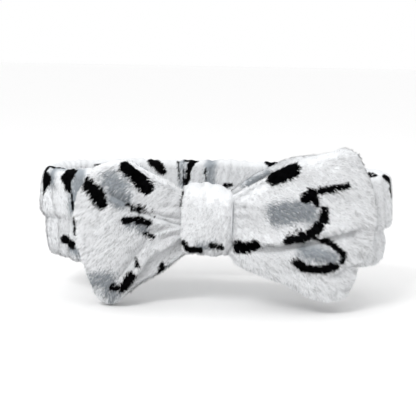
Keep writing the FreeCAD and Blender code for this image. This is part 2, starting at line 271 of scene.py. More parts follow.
def strip_outline(half_height, half_thickness, share):
    """Round a flat strip with half-round edges, from the middle of its outer face upwards.

    share runs from 0 to 1 round the outline.  Returns the height from the strip's middle, the
    distance outwards from its mid-surface, and the length walked from the start: up the outer
    face that length is positive, and down it negative.
    """
    straight = half_height - half_thickness
    bend = math.pi * half_thickness
    total = 4 * straight + 2 * bend
    walked = share * total
    walked = np.where(share > 0.5, walked - total, walked)
    length = np.abs(walked)
    side = np.sign(walked) + (walked == 0)
    angle = np.clip((length - straight) / half_thickness, 0, math.pi)
    on_outer = length < straight
    on_inner = length > straight + bend
    height = np.where(on_outer, length, straight + half_thickness * np.sin(angle))
    height = np.where(on_inner, straight - (length - straight - bend), height)
    outwards = half_thickness * np.cos(angle)
    return height * side, outwards, walked


# --- The print -----------------------------------------------------------------------------

WHITE, GREY, BLACK = 0, 1, 2
BLACK_EDGE = 0.35  # half the width over which a black stroke ends
GREY_EDGE = 3.0  # the same for a grey wash


def printed(a, b, marks):
    """How grey and how black the cloth is at each place, each from 0 to 1.

    A mark is (shade, width, line): a brush stroke of that width along a line, or of a first and
    a last width.  It covers the places nearer to its line than half its width plus ragged noise.
    Black strokes have a hard edge and half the noise, and grey washes fade out.
    """
    grey = np.zeros(np.shape(a))
    black = np.zeros(np.shape(a))
    rag = 1.1 * noise(a / 1.7, b / 1.7, 7) + 0.9 * noise(a / 4, b / 4, 8)
    for shade, width, line in marks:
        gap, along = distance_to_line(a, b, line)
        first, last = np.broadcast_to(width, 2)
        half = (first + (last - first) * along) / 2
        if shade == BLACK:
            spread = np.minimum(BLACK_EDGE, half * 0.15)
            black = np.maximum(black, ease(half + spread + rag / 2 - gap, -BLACK_EDGE, BLACK_EDGE))
        else:
            grey = np.maximum(grey, ease(half + rag - gap, -GREY_EDGE, GREY_EDGE))
    return grey, black


def scattered_marks(low, high, count, seed):
    """Brush marks of the print's usual kinds, thrown over a rectangle of cloth.

    Places come from a shuffled lattice, so that marks keep apart.  Each is a short bowed black
    stroke, and about every other one has a grey wash beside it.
    """
    dice = np.random.RandomState(seed)
    columns = max(1, round(math.sqrt(count * (high[0] - low[0]) / (high[1] - low[1]))))
    rows = max(1, math.ceil(count / columns))
    marks = []
    for cell in dice.permutation(rows * columns)[:count]:
        place = np.array([cell % columns + 0.5, cell // columns + 0.5])
        place += dice.uniform(-0.3, 0.3, 2)
        middle = low + (np.asarray(high) - low) * place / [columns, rows]
        heading = dice.uniform(0, math.pi)
        ahead = np.array([math.cos(heading), math.sin(heading)])
        aside = np.array([-math.sin(heading), math.cos(heading)])
        reach = dice.uniform(4, 9) * ahead
        bow = dice.uniform(-3, 3) * aside
        line = [middle - reach, middle + bow, middle + reach]
        marks.append((BLACK, dice.uniform(4.5, 8), line))
        if dice.uniform() < 0.55:
            marks.append((GREY, dice.uniform(9, 13), [point + 8 * aside for point in line]))
    return marks


# Red, green and blue of the cloth under the pile.
WHITE_CLOTH = np.array([0.74, 0.755, 0.77])
GREY_CLOTH = np.array([0.27, 0.30, 0.33])
BLACK_CLOTH = np.array([0.001, 0.001, 0.0015])


def cloth_colour(a, b, marks):
    """The printed colour: white cloth mottled a little, then grey over it, then black."""
    grey, black = printed(a, b, marks)
    mottle = 1 + 0.04 * noise(a / 9, b / 9, 90)
    colour = WHITE_CLOTH * mottle[..., None]
    colour = colour + (GREY_CLOTH - colour) * (grey * 0.92)[..., None]
    return colour + (BLACK_CLOTH - colour) * black[..., None]


# --- Materials -----------------------------------------------------------------------------

class Value:
    """A number socket that takes part in expressions, each adding the Math node that it needs."""

    def __init__(self, recipe, socket):
        self.recipe = recipe
        self.socket = socket

    def _math(self, operation, first, second):
        """One Math node."""
        return self.recipe.add("ShaderNodeMath", {"operation": operation}, {0: first, 1: second})

    def __add__(self, other):
        return self._math("ADD", self, other)

    def __sub__(self, other):
        return self._math("SUBTRACT", self, other)

    def __rsub__(self, other):
        return self._math("SUBTRACT", other, self)

    def __mul__(self, other):
        return self._math("MULTIPLY", self, other)

    __radd__ = __add__
    __rmul__ = __mul__


class Recipe:
    """A material under construction."""

    def __init__(self, name):
        self.material = bpy.data.materials.new(name)
        self.material.use_nodes = True
        self.nodes = self.material.node_tree.nodes
        self.links = self.material.node_tree.links
        self.shader = self.nodes["Principled BSDF"]

    def add(self, kind, settings=None, inputs=None, output=0):
        """A node of any kind: its settings first, then the values or links of its sockets."""
        node = self.nodes.new(kind)
        for name, value in (settings or {}).items():
            setattr(node, name, value)
        for name, value in (inputs or {}).items():
            self.feed(node.inputs[name], value)
        return Value(self, node.outputs[output])

    def feed(self, socket, value):
        """Link a value to a socket, or write a plain number or colour on it."""
        if isinstance(value, Value):
            self.links.new(value.socket, socket)
        else:
            socket.default_value = value

    def set(self, **inputs):
        """Feed the shader's sockets, named with underscores for spaces."""
        for name, value in inputs.items():
            self.feed(self.shader.inputs[name.replace("_", " ")], value)

    def place(self):
        """Object coordinates, in metres."""
        return self.add("ShaderNodeTexCoord", output="Object")

    def grain(self, scale, detail=2.0, stretch=(1, 1, 1)):
        """Noise from 0 to 1 at a scale per metre, squeezed along the axes by stretch."""
        mapped = self.add("ShaderNodeMapping", None, {"Vector": self.place(), "Scale": stretch})
        return self.add("ShaderNodeTexNoise", None,
                        {"Vector": mapped, "Scale": scale, "Detail": detail, "Roughness": 0.6},
                        output="Fac")

    def tinted(self, colour, amount, factor):
        """A colour times a shade from 1 - amount to 1 + amount, as the factor goes from 0 to 1."""
        shade = 1 + (2 * factor - 1) * amount
        grey = self.add("ShaderNodeCombineColor", None, {0: shade, 1: shade, 2: shade})
        return self.mixed(1.0, colour, grey, "MULTIPLY")

    def mixed(self, factor, first, second, way="MIX"):
        """Two colours mixed by a factor."""
        return self.add("ShaderNodeMix", {"data_type": "RGBA", "blend_type": way},
                        {"Factor": factor, 6: first, 7: second}, output=2)

    def bumped(self, strength, depth, height):
        """Normals tilted by a height from 0 to 1 that stands for a depth in metres."""
        return self.add("ShaderNodeBump", None,
                        {"Strength": strength, "Distance": depth, "Height": height})


def plush_cloth():
    """The cloth under the pile: printed colour, a fine nap and next to no gloss."""
    recipe = Recipe("printed plush")
    printed_colour = recipe.add("ShaderNodeAttribute", {"attribute_name": "print"}, output="Color")
    nap = recipe.grain(900, 3, (1, 1, 0.35))
    tuft = recipe.grain(260, 2, (1, 1, 0.5))
    fibre = nap * 0.65 + tuft * 0.35
    recipe.set(Base_Color=recipe.tinted(printed_colour, 0.12, fibre),
               Roughness=nap * 0.15 + 0.8, Normal=recipe.bumped(0.55, 0.0008, fibre),
               Specular_IOR_Level=0.04)
    return recipe.material


def fibre(name, colour, gloss):
    """One shade of pile fibre: matt, with next to no gloss."""
    recipe = Recipe(name)
    recipe.set(Base_Color=(*colour, 1), Roughness=0.75, Specular_IOR_Level=gloss)
    return recipe.material


def sewing_thread():
    """Twisted white polyester thread: slanting plies as fine stripes, with a slight gloss."""
    recipe = Recipe("sewing thread")
    wave = recipe.add("ShaderNodeTexWave", {"bands_direction": "DIAGONAL"},
                      {"Vector": recipe.place(), "Scale": 900.0, "Distortion": 1.0}, output="Fac")
    colour = recipe.mixed(wave, (0.6, 0.6, 0.6, 1), (0.85, 0.85, 0.84, 1))
    recipe.set(Base_Color=colour, Roughness=wave * 0.15 + 0.4,
               Normal=recipe.bumped(0.6, 0.0002, wave))
    return recipe.material


def woven_elastic():
    """Knitted elastic: close ribs along its length crossed by fine picks."""
    recipe = Recipe("woven elastic")
    ribs = recipe.add("ShaderNodeTexWave", {"bands_direction": "Z"},
                      {"Vector": recipe.place(), "Scale": 260.0}, output="Fac")
    picks = recipe.grain(1500, 1, (1, 1, 0.2))
    weave = ribs * 0.7 + picks * 0.3
    colour = recipe.mixed(weave, (0.62, 0.62, 0.60, 1), (0.88, 0.88, 0.86, 1))
    recipe.set(Base_Color=colour, Roughness=weave * 0.2 + 0.6,
               Normal=recipe.bumped(0.5, 0.0004, weave))
    return recipe.material


PLUSH = plush_cloth()
THREAD = sewing_thread()
ELASTIC = woven_elastic()

# Pile shades: each printed colour has a few, so that fibres stand apart from each other, and
# the darker ones, picked more often between tufts, are painted shade for the gaps there.  A
# fibre's colour is its shade times its tint, and no brighter than the brightest cloth.
PILE_SHADES = {
    WHITE: (0.88, 0.79, 0.67, 0.48),
    GREY: (0.37, 0.27, 0.20),
    BLACK: (0.0006, 0.003),
}
TINTS = {WHITE: (1.0, 1.012, 1.03), GREY: (0.93, 1.0, 1.07), BLACK: (1.0, 1.0, 1.1)}
BRIGHTEST = 0.93
SHADE_NAMES = {WHITE: "white", GREY: "grey", BLACK: "black"}
PILE = []
PILE_FIRST = {}
for tone, shades in PILE_SHADES.items():
    PILE_FIRST[tone] = len(PILE)
    for number, level in enumerate(shades, start=1):
        tinted = [min(level * share, BRIGHTEST) for share in TINTS[tone]]
        gloss = 0.01 if tone == BLACK else 0.04
        PILE.append(fibre(f"{SHADE_NAMES[tone]} fibre {number}", tinted, gloss))


# --- Pile ----------------------------------------------------------------------------------

MOST_FIBRES = 49000  # in one piece; more make a second one
LEAN = 1.7  # of a fibre along the nap, against 1 along the normal
CHANCE = 0.17  # spread of a fibre's own direction
ROOT_DEPTH = 0.3  # how far under the cloth's surface a fibre starts
HALF_WIDTH = (0.15, 0.26)  # of a fibre at its foot, from the thinnest to the thickest
FRAY = 0.25  # how far from its place a fibre reads the print
BLADE = np.array([[1, 0, 3], [0, 2, 3], [2, 1, 3], [0, 1, 2]])  # faces, with the tip last


def grow_pile(name, surface, nap, place, locks, marks, density, length, seed, tuft_size):
    """Short fibres over a surface: slim three-sided blades that lean with the nap.

    Each roots at a random place in a random face, faces being drawn by their area times the
    density there, in fibres per square millimetre.  Its direction is the normal plus the nap
    times the lean, plus a slow sideways wave that combs neighbours together, plus chance.
    Tufts are noise on the locks, two coordinates along and across the nap; between tufts the
    fibres are shorter and take darker shades, which are painted shade for the gaps.  The length
    is one number or a grid.  A fibre's broad side faces outwards, and its shade is the print's
    at a place a little way down the nap.
    """
    dice = np.random.RandomState(seed)
    grid = surface.points
    rows, columns = grid.shape[:2]
    last_row = rows if surface.wrap_rows else rows - 1
    row_step = np.roll(grid, -1, 0) - grid
    column_step = np.roll(grid, -1, 1) - grid
    row_length = np.linalg.norm(row_step, axis=-1)
    column_length = np.linalg.norm(column_step, axis=-1)
    area = np.linalg.norm(np.cross(row_step, column_step), axis=-1)
    want = (area * density)[:last_row]
    count = int(want.sum())
    cells = np.searchsorted(np.cumsum(want.ravel()), dice.uniform(0, want.sum(), count))
    row = cells // columns
    column = cells % columns
    part = dice.uniform(0, 1, (2, count))

    def between(field):
        """A grid of values read at each root, by weighing the four corners of its face."""
        next_row = (row + 1) % rows
        next_column = (column + 1) % columns
        u, v = part[:, :, None] if field.ndim == 3 else part
        return ((field[row, column] * (1 - u) + field[next_row, column] * u) * (1 - v)
                + (field[row, next_column] * (1 - u) + field[next_row, next_column] * u) * v)

    roots = between(grid)
    normals = unit(between(surface.normals))
    combed = unit(between(nap))
    sideways = np.cross(normals, combed)
    a, b = place
    a_here = a[row, column]
    b_here = b[row, column]
    bend = 2.5 * noise(a_here / 9, b_here / 9, seed + 4)
    lock_a = locks[0][row, column] + bend
    lock_b = locks[1][row, column] + bend
    tuft = noise(lock_a / tuft_size[0], lock_b / tuft_size[1], seed + 1)
    sweep = (0.32 * noise(a_here / 4.3, b_here / 4.3, seed + 2)
             + 0.3 * noise(a_here / 11, b_here / 11, seed + 3))[:, None]
    chance = dice.normal(0, CHANCE, (count, 3))
    rise = (1 + 0.3 * tuft)[:, None]
    direction = unit(normals * rise + combed * LEAN + sideways * sweep + chance)
    reach = between(np.broadcast_to(length, area.shape)) * dice.uniform(0.7, 1.1, count)
    reach = (reach * (0.92 + 0.25 * tuft))[:, None]
    width = dice.uniform(*HALF_WIDTH, count)[:, None]
    side = unit(np.cross(direction, normals + dice.normal(0, 0.15, (count, 3))))
    lift = np.cross(side, direction)
    foot = roots - normals * ROOT_DEPTH
    corners = np.stack([foot + side * width, foot - side * width,
                        foot - lift * width * 0.8, foot + direction * reach], 1)

    # The print is read part of the way down each fibre, and further in some locks than in
    # others, which frays its edges.
    lock = noise(lock_a / (1.6 * tuft_size[0]), lock_b / (0.8 * tuft_size[1]), seed + 6)
    slide = reach[:, 0] * (0.45 + 0.28 * lock + 0.25 * dice.normal(0, 1, count))
    down_rows = slide * (combed * surface.along[row, column]).sum(-1) / row_length[row, column]
    over_columns = (slide * (combed * surface.around[row, column]).sum(-1)
                    / column_length[row, column])
    at_row = np.floor(row + part[0] + down_rows + 0.5).astype(int)
    at_row = at_row % rows if surface.wrap_rows else np.clip(at_row, 0, rows - 1)
    at_column = np.floor(column + part[1] + over_columns + 0.5).astype(int) % columns
    fray = dice.normal(0, FRAY, (2, count))
    grey, black = printed(a[at_row, at_column] + fray[0], b[at_row, at_column] + fray[1], marks)
    tone = np.where(black > 0.5, BLACK,
                    np.where(grey * 0.95 > dice.uniform(0, 1, count), GREY, WHITE))
    # Darker shades are picked where the tuft noise is low, between tufts: painted shade for the
    # gaps, on top of a random spread from fibre to fibre.
    shade = np.zeros(count, int)
    for kind, levels in PILE_SHADES.items():
        rank = np.clip(0.45 - 0.5 * tuft + dice.uniform(-0.4, 0.4, count), 0, 0.999)
        shade = np.where(tone == kind, PILE_FIRST[kind] + (rank * len(levels)).astype(int), shade)

    # Shading: the broad side faces out as the cloth does, and the edge under it faces down.
    upper = normals * 0.6 + lift * 0.4
    facing = np.stack([unit(upper + side * 0.5), unit(upper - side * 0.5), -lift, unit(upper)], 1)
    pieces = []
    parts = math.ceil(count / MOST_FIBRES)
    for number, some in enumerate(np.array_split(dice.permutation(count), parts), start=1):
        faces = (4 * np.arange(len(some))[:, None, None] + BLADE[None]).reshape(-1, 3)
        piece = add_mesh(f"{name}_{number}", corners[some].reshape(-1, 3), [faces])
        for material in PILE:
            piece.data.materials.append(material)
        piece.data.polygons.foreach_set("material_index",
                                        np.repeat(shade[some], len(BLADE)).astype(np.int32))
        piece.data.normals_split_custom_set_from_vertices(
            facing[some].reshape(-1, 3).astype(np.float32))
        pieces.append(piece)
    return pieces


# --- The band ------------------------------------------------------------------------------

OVAL_STEPS = 40000  # once round


class Oval:
    """The ring seen from above: two shallow arcs joined by two tight ones.

    The outward direction turns once round at a rate of one over the radius of the arc it is on,
    so the path is the running sum of radius times turn.  Lengths start at the middle of the
    front and run towards +X.
    """

    def __init__(self, inset):
        """The oval a distance inside the ring's outer face."""
        half_width = RING_HALF_WIDTH - inset
        half_depth = RING_HALF_DEPTH - inset
        small = RING_END_RADIUS - inset
        centre = half_width - small
        large = (centre**2 + half_depth**2 - small**2) / (2 * (half_depth - small))
        joint = math.asin(centre / (large - small))
        self.turn = np.linspace(0, TAU, OVAL_STEPS + 1)
        from_axis = np.abs((self.turn + math.pi / 2) % math.pi - math.pi / 2)
        radius = np.where(from_axis < joint, large, small)
        step = self.turn[1] * (radius[1:] + radius[:-1]) / 2
        self.walked = np.concatenate([[0], np.cumsum(step)])
        self.length = self.walked[-1]
        middle = (self.turn[1:] + self.turn[:-1]) / 2
        path = np.stack([np.cos(middle) * step, np.sin(middle) * step], -1)
        path = np.concatenate([[[0, 0]], np.cumsum(path, axis=0)])
        self.path = path + [0, -half_depth]

    def nearest(self, x, y):
        """The length along the oval at which it is nearest to a place."""
        return self.walked[np.argmin(np.hypot(self.path[:, 0] - x, self.path[:, 1] - y))]

    def at(self, walked):
        """The place and the outward direction at lengths along the oval."""
        walked = np.mod(walked, self.length)
        turn = np.interp(walked, self.walked, self.turn)
        place = np.stack([np.interp(walked, self.walked, self.path[:, i]) for i in (0, 1)], -1)
        outward = np.stack([np.sin(turn), -np.cos(turn)], -1)
        return place, outward


def gathers(along, height, spacing, seed):
    """Gathered folds: rounded ridges with sharp valleys that wander and merge with height.

    A ridge is the size of a sine of the length over the spacing, plus slow noise, raised to a
    power a little over one, and scaled by slower noise.
    """
    wander = 0.9 * noise(along / 31, height / 90, seed)
    wander = wander + 0.35 * noise(along / 11, height / 17, seed + 1)
    ridge = np.abs(np.sin(math.pi * (along / spacing + wander)))
    depth = 0.75 + 0.35 * noise(along / 14, height / 30, seed + 2)
    return ridge**1.3 * depth


MEAN_GATHER = 0.7  # taken off the folds, so that they leave the cloth's thickness as it is
END_ZONE = (82, 104)  # from its start to its full effect, in distance from the middle
PINCH_REACH = 30  # how far past the knot the cloth is drawn together
BAND_GRID = (560, 132)
RING_PARTS = ("front", "left", "right", "back")  # of the cover, the elastic and the seam in CAD
PRINT_MARGIN = 2.1  # how far the cloth's edges stand beyond the band's height, for the print


def lean_in(x, z):
    """How far the band leans inwards at its ends: an eased step of height makes it more below."""
    at_end = ease(np.abs(x), *END_ZONE)
    return at_end * (-3.0 - 3.6 * ease(z, 2, -8) - 1.2 * ease(z, -14, -32))


def make_band_surface():
    """The plush tube: an upright strip with round edges carried round the oval, then gathered.

    Its edges are level lines plus slow noise, drawn together at the knot.  A quarter of a cosine
    of height makes it plump.  It leans in at its ends, and every point then moves along its
    normal by the gathers, less a bell-shaped crease across each end.
    """
    oval = Oval(BAND_THICKNESS / 2)
    rows, columns = BAND_GRID
    walked = (np.arange(rows) * oval.length / rows)[:, None]
    share = (np.arange(columns) / columns)[None, :]
    place, outward = oval.at(walked[:, 0])

    # The knot pinches the band at the middle of the front.
    across = place[:, :1]
    in_front = (place[:, 1:] < 0)
    knot_low, knot_high = KNOT_BOX[0][2] + 6, KNOT_BOX[1][2] - 6
    knot_side = KNOT_BOX[1][0]
    pinched = in_front * (1 - ease(np.abs(across), knot_side - 1, knot_side + PINCH_REACH))
    at_back = ease(place[:, 1:], 0, RING_HALF_DEPTH)
    at_end = ease(np.abs(across), *END_ZONE)
    # The edges wander; the back stands a little taller, and the low edge rises towards the ends.
    top = BAND_HALF_HEIGHT + 1.8 + 2.4 * at_back + 0.9 * noise(walked / 8, 0.5, 11)
    low = -BAND_HALF_HEIGHT + 4.5 * ease(np.abs(across), 55, 92)
    low = low + 0.9 * noise(walked / 8, 0.5, 12)
    top = top + (knot_high - top) * pinched
    low = low + (knot_low - low) * pinched
    middle = (top + low) / 2
    half_thickness = BAND_HALF_THICKNESS - 1.2 * pinched
    height, out, around = strip_outline((top - low) / 2, half_thickness, share)
    z = middle + height

    # Plump in the middle, and leaning in at the ends under a crease at half height.
    plump = 1.6 * np.cos(np.clip(height / (top - low) * 2, -1, 1) * math.pi / 2) * np.sign(out)
    out = out + plump * (1 - pinched) + lean_in(across, z)
    points = np.zeros((rows, columns, 3))
    points[..., :2] = place[:, None] + outward[:, None] * out[..., None]
    points[..., 2] = z
    surface = Surface(points, True)

    outer = 1 - ease(np.abs(around) / (top - low), 0.42, 0.62)
    folds_out = gathers(walked, z, 12.0, 21) - MEAN_GATHER
    folds_in = gathers(walked, z, 5.6, 25) - MEAN_GATHER
    behind_bow = in_front * (1 - at_end)
    swell = outer * folds_out * (2.6 - 1.6 * behind_bow)
    swell += (1 - outer) * folds_in * 1.7
    crease_level = -1.5 - 3.0 * ease(across, -60, 60)
    crease = np.exp(-((z - crease_level - 0.8 * noise(walked / 9, 0, 31)) / 3.2) ** 2)
    swell -= outer * at_end * crease * 3.0
    swell -= 1.3 * pinched * outer
    surface.push(swell * (1 - 0.8 * pinched))
    surface.soften(2)
    return surface, np.broadcast_to(walked, z.shape), np.broadcast_to(around, z.shape)


# Brush marks in sight on the band: shade, width, and places (x, y, z) that the line passes.
# Those on the back's inner face show above the front.
OUTER_MARKS = [
    (BLACK, (9, 15), [(-111.7, -13.3, 15), (-111.7, -13.3, 20)]),
    (BLACK, 9, [(-112.6, -12, 22), (-112.6, -12, 30)]),
    (BLACK, 3, [(-112.6, -12, 32), (-101.6, -22.7, 33)]),
    (GREY, 9, [(-106.5, -19.5, 21), (-105.5, -20, 29)]),
    (BLACK, (9, 5), [(-92, -24, 29), (-95, -23, 24), (-93, -24, 17.5)]),
    (BLACK, 1.5, [(-90, -25, 14), (-89, -25, 4)]),
    (GREY, 11, [(-87, -26, 28), (-86, -27, 19), (-88, -26, 5)]),
    (BLACK, 5.5, [(-97, -21, -17.5), (-90, -25, -19.5)]),
    (GREY, 7, [(-90, -24, -23), (-84, -27, -26)]),
    (BLACK, 4, [(101, -20, 33), (106, -18, 33)]),
    (BLACK, 4.5, [(114, -14, 29), (117, -10, 24), (118, -8, 16)]),
]
INNER_MARKS = [
    (BLACK, (7, 5), [(-47, 33, 35), (-42, 33, 31), (-40, 33, 27)]),
    (BLACK, 3.0, [(-23, 34, 37), (-16, 34, 37)]),
    (BLACK, (4.5, 1.8), [(-19, 34, 36), (-21.5, 34, 28), (-23, 34, 15)]),
    (BLACK, (0.6, 1.0), [(-25, 34, 34), (-25, 34, 14)]),
    (GREY, 5, [(-26, 34, 34), (-25, 34, 24), (-25, 34, 10)]),
    (BLACK, 0.8, [(-29, 34, 36), (-28, 34, 22)]),
    (GREY, 7.5, [(-5.5, 34, 38), (-6, 34, 26), (-6, 34, 8)]),
    (BLACK, 0.9, [(-9.5, 34, 30), (-9.5, 34, 14)]),
    (BLACK, 5.5, [(35, 34, 37), (45, 34, 37)]),
    (GREY, 5, [(38, 34, 33), (38, 34, 24)]),
    (BLACK, 2.5, [(3.5, 34, 17), (9, 34, 18)]),
    (BLACK, 2.0, [(-87, 26, 35), (-84, 26, 35)]),
    (BLACK, (6, 4), [(20, 34, 6), (26, 34, -6)]),
    (BLACK, 5, [(-60, 33, 4), (-52, 33, -8)]),
    (GREY, 9, [(-66, 32, -2), (-60, 32, -14)]),
    (BLACK, 6, [(62, 32, 2), (70, 31, -9)]),
    (GREY, 9, [(56, 32, -12), (64, 32, -20)]),
]
# Where the listed marks are alone: lowest and highest length round the ring, then height.
KEPT_CLEAR = [((92, 160), (-40, 40)), ((395, 470), (-40, 40)), ((165, 392), (30, 110))]


def band_marks():
    """The print on the band, in length round the ring and length up and over its cloth.

    The way to a height on the inner face is the way over the top edge less that height.
    """
    oval = Oval(BAND_THICKNESS / 2)
    straight = 2 * (BAND_HALF_HEIGHT + PRINT_MARGIN - BAND_HALF_THICKNESS)
    over_the_top = straight + math.pi * BAND_HALF_THICKNESS + PRINT_MARGIN
    marks = []
    for group, inside in ((OUTER_MARKS, False), (INNER_MARKS, True)):
        for shade, width, places in group:
            line = [(oval.nearest(x, y), over_the_top - z if inside else z) for x, y, z in places]
            marks.append((shade, width, line))
    for mark in scattered_marks((0, -95), (oval.length, 95), 60, 5):
        middle = mark[2][1]
        if not any(low <= middle[0] <= high and below <= middle[1] <= above
                   for (low, high), (below, above) in KEPT_CLEAR):
            marks.append(mark)
    return marks


def make_band():
    """The band's cover and pile, its elastic and its seam, each with its transform baked into its
    mesh.
    """
    surface, a, b = make_band_surface()
    marks = band_marks()
    cover = add_cloth("band_cover", surface, PLUSH, cloth_colour(a, b, marks))
    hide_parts(*(f"band_cover_{part}" for part in RING_PARTS))
    down = unit(surface.along * 0.4 - np.array([0, 0, 0.7]))
    pieces = [cover]
    outer = np.cos(b / (2 * BAND_HALF_HEIGHT) * math.pi / 1.15) > 0
    for name, where, per_mm2, seed in (("outer", outer, 2.4, 40), ("inner", ~outer, 1.9, 41)):
        pieces += grow_pile(f"band_pile_{name}", surface, down, (a, b), (a, b), marks,
                            where * per_mm2 * QUICK_SHARE, 2.6, seed, (0.8, 2.6))
    for piece in (*pieces, make_elastic(), make_seam(surface)):
        stretch_with_band(piece)


# --- The bow's loops -----------------------------------------------------------------------

# A loop from above: share of its reach, and depth from its middle plane (minus is forwards).
LOOP_PLAN = [(0.00, -3.2), (0.05, -6.0), (0.14, -9.6), (0.35, -12.4), (0.62, -13.6),
             (0.84, -12.2), (0.96, -7.0), (1.00, -0.5), (0.955, 4.6), (0.80, 6.0), (0.50, 5.2),
             (0.22, 4.2), (0.00, 3.2)]
PLAN_REACH = 80  # a loop's usual reach, which spaces the plan's rows evenly

# Each loop's edges as reach and height: its outer fold from the bottom up, then the top and
# bottom edges of its front and back layers from the root outwards.
LOOPS = {
    "left": {
        "fold": [(61.5, -45.8), (70, -43), (75, -34), (79, -22), (84, -5), (85, 8), (83, 19),
                 (76, 30)],
        "front_top": [(13, 22), (20, 27), (36, 36), (54, 43.5), (67, 40.5), (76, 30)],
        "front_low": [(13, -6), (22, -7), (35, -13), (47, -29), (55, -40), (61.5, -45.8)],
        "back_top": [(13, 18), (20, 22), (36, 30), (54, 37.5), (67, 37), (76, 30)],
        "back_low": [(13, -15), (20, -21), (31, -29.5), (41, -35), (51, -41), (61.5, -45.8)],
    },
    "right": {
        "fold": [(87, -40), (91, -33), (94, -24), (96, -15), (101, -8), (104, 6), (104, 17),
                 (102, 29), (97, 41), (92, 50.5)],
        "front_top": [(13, 21), (19, 24), (33, 32.5), (48, 42), (62, 47), (76, 50), (88, 53),
                      (92, 50.5)],
        "front_low": [(13, -13), (19, -19), (33, -26.5), (50, -31.5), (70, -39.5), (79, -41),
                      (87, -40)],
        "back_top": [(13, 23), (20, 29), (33, 37.5), (48, 44), (62, 48), (76, 50), (88, 52.5),
                     (92, 50.5)],
        "back_low": [(13, -13), (19, -17), (33, -24.5), (50, -29), (70, -36), (79, -38.5),
                     (87, -40)],
    },
}

FOLD_ROOM = 3.6  # for the thickness of the cloth and its pile, outside the fold
# How much less each loop bulges forwards at its low and at its top edge.
FLATTER = {"left": (0.68, 0.3), "right": (0.4, 0.5)}

# Folds of each front layer: how far the lip over it stands out, how far the cloth under it
# presses in, how wide each is, and the line between them, walked so that the lip is to its left.
LIPS = {
    "left": [(2.2, 4.2, 4.5, 4.5, [(57, 19), (47, 13.2), (35, 7.4), (24, 4.2), (13, 1.5)]),
             (3.4, 0.6, 4.6, 3.0, [(56, -40), (46, -26), (35, -9.5), (24, -4), (13, -1.5)]),
             (0.0, 2.6, 3.0, 4.5, [(54, -30), (44, -17), (34, -2), (24, 1.5), (15, 2)])],
    "right": [(3.6, 6.0, 6.0, 6.0, [(13, -6), (33, -6.5), (45, -6), (58, -3.5), (70, 0), (90, 6)]),
              (1.4, 2.4, 4.0, 4.0, [(78, -22), (86, -17), (97, -13)])],
}
# Valleys: depth, width and line.  A minus depth makes a ridge.
FOLDS = {
    "left": [(-1.7, 1.3, [(17, 4.6), (24, 6.2), (33, 8.8)]),
             (1.2, 1.2, [(16, 6.8), (24, 8.4), (32, 10.6)]),
             (2.0, 7.0, [(42, 42), (36, 28), (26, 16)]),
             (-1.5, 8.0, [(62, 8), (56, -12), (58, -28)])],
    "right": [(2.0, 3.0, [(17, 21), (26, 27), (34, 30)]),
              (-1.8, 7.0, [(30, 16), (52, 20), (80, 30)]),
              (1.6, 5.0, [(60, 30), (76, 24), (92, 22)]),
              (-2.0, 5.0, [(52, -12), (66, -10), (78, -12)]),
              (1.6, 4.0, [(54, -22), (66, -26), (80, -26)])],
}

# Brush marks in sight on the loops: shade, width, and line in reach and height.  The inner faces
# of the loops have a print of their own: the front layer's starts at FRONT_INSIDE and goes out,
# and the back layer's comes back from BACK_INSIDE.
FRONT_INSIDE = 300
BACK_INSIDE = 500
LOOP_MARKS = {
    "left": [
        (BLACK, (7.5, 9.5), [(51, 39), (45, 34), (38.5, 27)]),
        (BLACK, (8.2, 8.0), [(72.6, 26.2), (68.6, 23), (65.6, 17)]),
        (GREY, 12, [(59, 30), (54, 20)]),
        (GREY, 9, [(51, 20), (53, 30)]),
        (BLACK, (1.8, 0.9), [(49.5, 16), (42.5, 13.2), (35, 10.2)]),
        (BLACK, (1.5, 0.8), [(47, 13.2), (40.5, 10.8), (33, 8.3)]),
        (BLACK, (0.9, 1.1), [(43, 15.6), (38, 13.6), (32.5, 11.6)]),
        (BLACK, (4.6, 4.0), [(51, 6.0), (44, 7.2), (37, 5.6)]),
        (GREY, 7, [(49, 4), (40, 2)]),
        (BLACK, 2.0, [(39.8, -2), (34, -3.7)]),
        (BLACK, 2.8, [(15.6, 24), (16.4, 15.6)]),
        (BLACK, 1.8, [(45.3, -18.6), (44.6, -23)]),
        (GREY, 10, [(68.6, -33.4), (62, -31.5), (60, -39)]),
        (BLACK, 4.2, [(59, -36.5), (54, -36.7), (48.4, -29.5)]),
        (BLACK, 3.0, [(81.5, 4.5), (81, -4)]),
        (BLACK, (2.5, 4.0), [(471.5, -24.5), (469.5, -31.5)]),
        (GREY, 3, [(475, -26), (478, -29)]),
    ],
    "right": [
        (BLACK, 9.0, [(41.5, 34), (52.5, 39)]),
        (BLACK, 6.5, [(61.3, 23.4), (64.5, 25.4)]),
        (BLACK, 3.8, [(64, 26), (75.6, 28.7), (84.5, 30.8)]),
        (BLACK, 3.0, [(66, 24.5), (67.5, 19)]),
        (GREY, 13.0, [(44, 12.3), (54, 14), (62, 14)]),
        (BLACK, (4.6, 6.5), [(72.4, 15.8), (71.5, 8.9), (66.8, 3)]),
        (BLACK, (5.5, 5.0), [(66, 2.0), (59, -1), (51, -3)]),
        *((BLACK, (1.8, 0.8), [(reach, -1), (reach + 2.6, 3.6)]) for reach in (50, 53, 56, 59)),
        (GREY, 9.5, [(62, -10), (72, -11), (77, -11.5)]),
        (BLACK, 3.4, [(67.5, -1.6), (77, -4.5), (83.5, -10)]),
        (BLACK, 3.4, [(83.5, -10), (82.6, -14.5)]),
        (BLACK, (5.0, 5.5), [(56, -16.4), (62, -20), (70.6, -20.9), (78.4, -17.5)]),
        (BLACK, (8.0, 6.0), [(21, -9.5), (24.9, -9.5), (31, -7)]),
        (GREY, 7, [(475, 28.5), (464, 35)]),
    ],
}


BACK_PRINT_GAP = 8  # cloth between the fold and the start of the back layer's print


